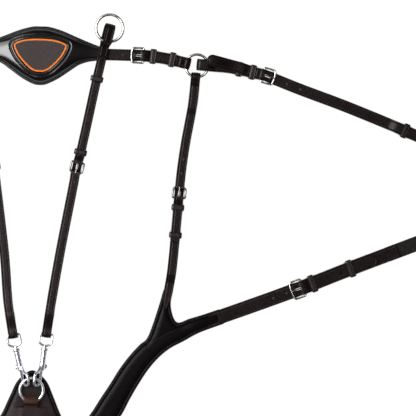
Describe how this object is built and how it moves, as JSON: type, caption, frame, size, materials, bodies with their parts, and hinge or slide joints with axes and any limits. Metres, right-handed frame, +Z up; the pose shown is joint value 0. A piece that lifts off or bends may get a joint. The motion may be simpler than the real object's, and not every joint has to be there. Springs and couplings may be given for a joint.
{
  "type": "horse breastplate",
  "caption": "Padded horse breastplate laid flat: yoke with chest shield, wither pad, buckled adjustable straps, ring joints, elastic girth ends, saddle snaps and a clip-on martingale fork.",
  "frame": {"origin": "on the surface it lies on, below the middle of the chest ring", "axes": "+X to the object's right side (as pictured), +Y from the chest towards the wither pad, +Z up, out of the outer side"},
  "size_m": [1.4252, 0.9817, 0.0208],
  "materials": {
    "leather": "dyed bridle leather, satin",
    "padded_leather": "soft leather over padding, satin",
    "steel": "polished",
    "elastic": "woven elastic webbing, matt",
    "badge": "matt embossed patch"
  },
  "bodies": {
    "breastplate": {"yoke": "padded_leather", "chest_tab": "leather", "girth_strap": "leather", "wither_pad": "padded_leather", "wither_badge": "badge", "wither_chape_right": "leather", "wither_buckle_right": "steel", "shoulder_strap_right": "leather", "shoulder_chape_right": "leather", "shoulder_buckle_right": "steel", "girth_chape_right": "leather", "girth_buckle_right": "steel", "girth_elastic_right": "elastic", "wither_chape_left": "leather", "wither_buckle_left": "steel", "shoulder_strap_left": "leather", "shoulder_chape_left": "leather", "shoulder_buckle_left": "steel", "girth_chape_left": "leather", "girth_buckle_left": "steel", "girth_elastic_left": "elastic"},
    "wither_tongue_right": {"wither_tongue_right": "steel"},
    "shoulder_tongue_right": {"shoulder_tongue_right": "steel"},
    "girth_tongue_right": {"girth_tongue_right": "steel"},
    "junction_ring_right": {"junction_ring_right": "steel"},
    "saddle_side_right": {"saddle_chape_right": "leather", "saddle_buckle_right": "steel", "saddle_strap_right": "leather"},
    "saddle_tongue_right": {"saddle_tongue_right": "steel"},
    "saddle_snap_body_right": {"saddle_snap_body_right": "steel"},
    "saddle_snap_bolt_right": {"saddle_snap_bolt_right": "steel"},
    "girth_loop_right": {"girth_loop_right": "leather"},
    "wither_tongue_left": {"wither_tongue_left": "steel"},
    "shoulder_tongue_left": {"shoulder_tongue_left": "steel"},
    "girth_tongue_left": {"girth_tongue_left": "steel"},
    "junction_ring_left": {"junction_ring_left": "steel"},
    "saddle_side_left": {"saddle_chape_left": "leather", "saddle_buckle_left": "steel", "saddle_strap_left": "leather"},
    "saddle_tongue_left": {"saddle_tongue_left": "steel"},
    "saddle_snap_body_left": {"saddle_snap_body_left": "steel"},
    "saddle_snap_bolt_left": {"saddle_snap_bolt_left": "steel"},
    "girth_loop_left": {"girth_loop_left": "leather"},
    "chest_ring": {"chest_ring": "steel"},
    "martingale_snap_body_right": {"martingale_snap_body_right": "steel"},
    "martingale_snap_bolt_right": {"martingale_snap_bolt_right": "steel"},
    "martingale_arm_right": {"martingale_strap_right": "leather", "martingale_chape_right": "leather", "martingale_buckle_right": "steel", "martingale_snap_eye_right": "steel"},
    "martingale_ring_right": {"martingale_ring_right": "steel"},
    "martingale_tongue_right": {"martingale_tongue_right": "steel"},
    "martingale_snap_body_left": {"martingale_snap_body_left": "steel"},
    "martingale_snap_bolt_left": {"martingale_snap_bolt_left": "steel"},
    "martingale_arm_left": {"martingale_strap_left": "leather", "martingale_chape_left": "leather", "martingale_buckle_left": "steel", "martingale_snap_eye_left": "steel"},
    "martingale_ring_left": {"martingale_ring_left": "steel"},
    "martingale_tongue_left": {"martingale_tongue_left": "steel"}
  },
  "joints": [
    {"name": "wither_tongue_right_hinge", "type": "hinge", "parent": "breastplate", "child": "wither_tongue_right", "pos_m": [0.14437, 0.47105, 0.0044], "axis": [0.029, 0.9996, 0], "range_deg": [0, 8]},
    {"name": "shoulder_tongue_right_hinge", "type": "hinge", "parent": "breastplate", "child": "shoulder_tongue_right", "pos_m": [0.19857, 0.2736, 0.0044], "axis": [0.998, -0.0632, 0], "range_deg": [0, 8]},
    {"name": "girth_tongue_right_hinge", "type": "hinge", "parent": "breastplate", "child": "girth_tongue_right", "pos_m": [0.37545, 0.15285, 0.0044], "axis": [-0.3747, 0.9271, 0], "range_deg": [0, 8]},
    {"name": "junction_ring_right_turn", "type": "hinge", "parent": "breastplate", "child": "junction_ring_right", "pos_m": [0.2194, 0.4587, 0.00625], "axis": [0, 0, 1], "continuous": true},
    {"name": "saddle_side_right_lift", "type": "hinge", "parent": "breastplate", "child": "saddle_side_right", "pos_m": [0.23422, 0.45966, 0.00625], "axis": [-0.0595, -0.9982, 0], "range_deg": [0, 50]},
    {"name": "saddle_tongue_right_hinge", "type": "hinge", "parent": "saddle_side_right", "child": "saddle_tongue_right", "pos_m": [0.31179, 0.44876, 0.0044], "axis": [-0.2597, -0.9657, 0], "range_deg": [0, 8]},
    {"name": "saddle_snap_right_lift", "type": "hinge", "parent": "saddle_side_right", "child": "saddle_snap_body_right", "pos_m": [0.545, 0.3626, 0.00615], "axis": [-0.3653, -0.9309, 0], "range_deg": [0, 75]},
    {"name": "saddle_snap_right_bolt", "type": "slide", "parent": "saddle_snap_body_right", "child": "saddle_snap_bolt_right", "axis": [-0.9309, 0.3653, 0], "range_m": [0, 0.008], "stiffness_N_per_m": 400, "springref_m": -0.004},
    {"name": "girth_elastic_right_stretch", "type": "slide", "parent": "breastplate", "child": "girth_loop_right", "axis": [0.9271, 0.3747, 0], "range_m": [0, 0.03], "stiffness_N_per_m": 800, "deforming": ["girth_elastic_right"]},
    {"name": "wither_tongue_left_hinge", "type": "hinge", "parent": "breastplate", "child": "wither_tongue_left", "pos_m": [-0.14437, 0.47105, 0.0044], "axis": [0.029, -0.9996, 0], "range_deg": [0, 8]},
    {"name": "shoulder_tongue_left_hinge", "type": "hinge", "parent": "breastplate", "child": "shoulder_tongue_left", "pos_m": [-0.19857, 0.2736, 0.0044], "axis": [0.998, 0.0632, 0], "range_deg": [0, 8]},
    {"name": "girth_tongue_left_hinge", "type": "hinge", "parent": "breastplate", "child": "girth_tongue_left", "pos_m": [-0.37545, 0.15285, 0.0044], "axis": [-0.3747, -0.9271, 0], "range_deg": [0, 8]},
    {"name": "junction_ring_left_turn", "type": "hinge", "parent": "breastplate", "child": "junction_ring_left", "pos_m": [-0.2194, 0.4587, 0.00625], "axis": [0, 0, 1], "continuous": true},
    {"name": "saddle_side_left_lift", "type": "hinge", "parent": "breastplate", "child": "saddle_side_left", "pos_m": [-0.23422, 0.45966, 0.00625], "axis": [-0.0595, 0.9982, 0], "range_deg": [0, 50]},
    {"name": "saddle_tongue_left_hinge", "type": "hinge", "parent": "saddle_side_left", "child": "saddle_tongue_left", "pos_m": [-0.31179, 0.44876, 0.0044], "axis": [-0.2597, 0.9657, 0], "range_deg": [0, 8]},
    {"name": "saddle_snap_left_lift", "type": "hinge", "parent": "saddle_side_left", "child": "saddle_snap_body_left", "pos_m": [-0.545, 0.3626, 0.00615], "axis": [-0.3653, 0.9309, 0], "range_deg": [0, 75]},
    {"name": "saddle_snap_left_bolt", "type": "slide", "parent": "saddle_snap_body_left", "child": "saddle_snap_bolt_left", "axis": [0.9309, 0.3653, 0], "range_m": [0, 0.008], "stiffness_N_per_m": 400, "springref_m": -0.004},
    {"name": "girth_elastic_left_stretch", "type": "slide", "parent": "breastplate", "child": "girth_loop_left", "axis": [-0.9271, 0.3747, 0], "range_m": [0, 0.03], "stiffness_N_per_m": 800, "deforming": ["girth_elastic_left"]},
    {"name": "chest_ring_lift", "type": "hinge", "parent": "breastplate", "child": "chest_ring", "pos_m": [0, -0.01447, 0.0142], "axis": [1, 0, 0], "range_deg": [0, 60]},
    {"name": "martingale_snap_right_lift", "type": "hinge", "parent": "chest_ring", "child": "martingale_snap_body_right", "pos_m": [0.0076, 0.0143, 0.0142], "axis": [0.8829, -0.4695, 0], "range_deg": [0, 35]},
    {"name": "martingale_snap_right_bolt", "type": "slide", "parent": "martingale_snap_body_right", "child": "martingale_snap_bolt_right", "axis": [0.1123, 0.9937, 0], "range_m": [0, 0.008], "stiffness_N_per_m": 400, "springref_m": -0.004},
    {"name": "martingale_arm_right_swivel", "type": "hinge", "parent": "martingale_snap_body_right", "child": "martingale_arm_right", "pos_m": [0.01149, 0.01363, 0.00916], "axis": [-0.1123, -0.9937, 0], "range_deg": [0, 15]},
    {"name": "martingale_ring_right_lift", "type": "hinge", "parent": "martingale_arm_right", "child": "martingale_ring_right", "pos_m": [0.09213, 0.48986, 0.01327], "axis": [0.9751, -0.2218, 0], "range_deg": [0, 80]},
    {"name": "martingale_tongue_right_hinge", "type": "hinge", "parent": "martingale_arm_right", "child": "martingale_tongue_right", "pos_m": [0.05665, 0.31946, 0.00531], "axis": [-0.9758, 0.2188, 0], "range_deg": [0, 8]},
    {"name": "martingale_snap_left_lift", "type": "hinge", "parent": "chest_ring", "child": "martingale_snap_body_left", "pos_m": [-0.00859, 0.01374, 0.0142], "axis": [0.848, 0.5299, 0], "range_deg": [0, 35]},
    {"name": "martingale_snap_left_bolt", "type": "slide", "parent": "martingale_snap_body_left", "child": "martingale_snap_bolt_left", "axis": [-0.2385, 0.9711, 0], "range_m": [0, 0.008], "stiffness_N_per_m": 400, "springref_m": -0.004},
    {"name": "martingale_arm_left_swivel", "type": "hinge", "parent": "martingale_snap_body_left", "child": "martingale_arm_left", "pos_m": [-0.01235, 0.01257, 0.00916], "axis": [0.2385, -0.9711, 0], "range_deg": [0, 15]},
    {"name": "martingale_ring_left_lift", "type": "hinge", "parent": "martingale_arm_left", "child": "martingale_ring_left", "pos_m": [-0.09813, 0.48986, 0.01327], "axis": [0.9751, 0.222, 0], "range_deg": [0, 80]},
    {"name": "martingale_tongue_left_hinge", "type": "hinge", "parent": "martingale_arm_left", "child": "martingale_tongue_left", "pos_m": [-0.0636, 0.31929, 0.00531], "axis": [-0.9831, -0.1829, 0], "range_deg": [0, 8]}
  ]
}
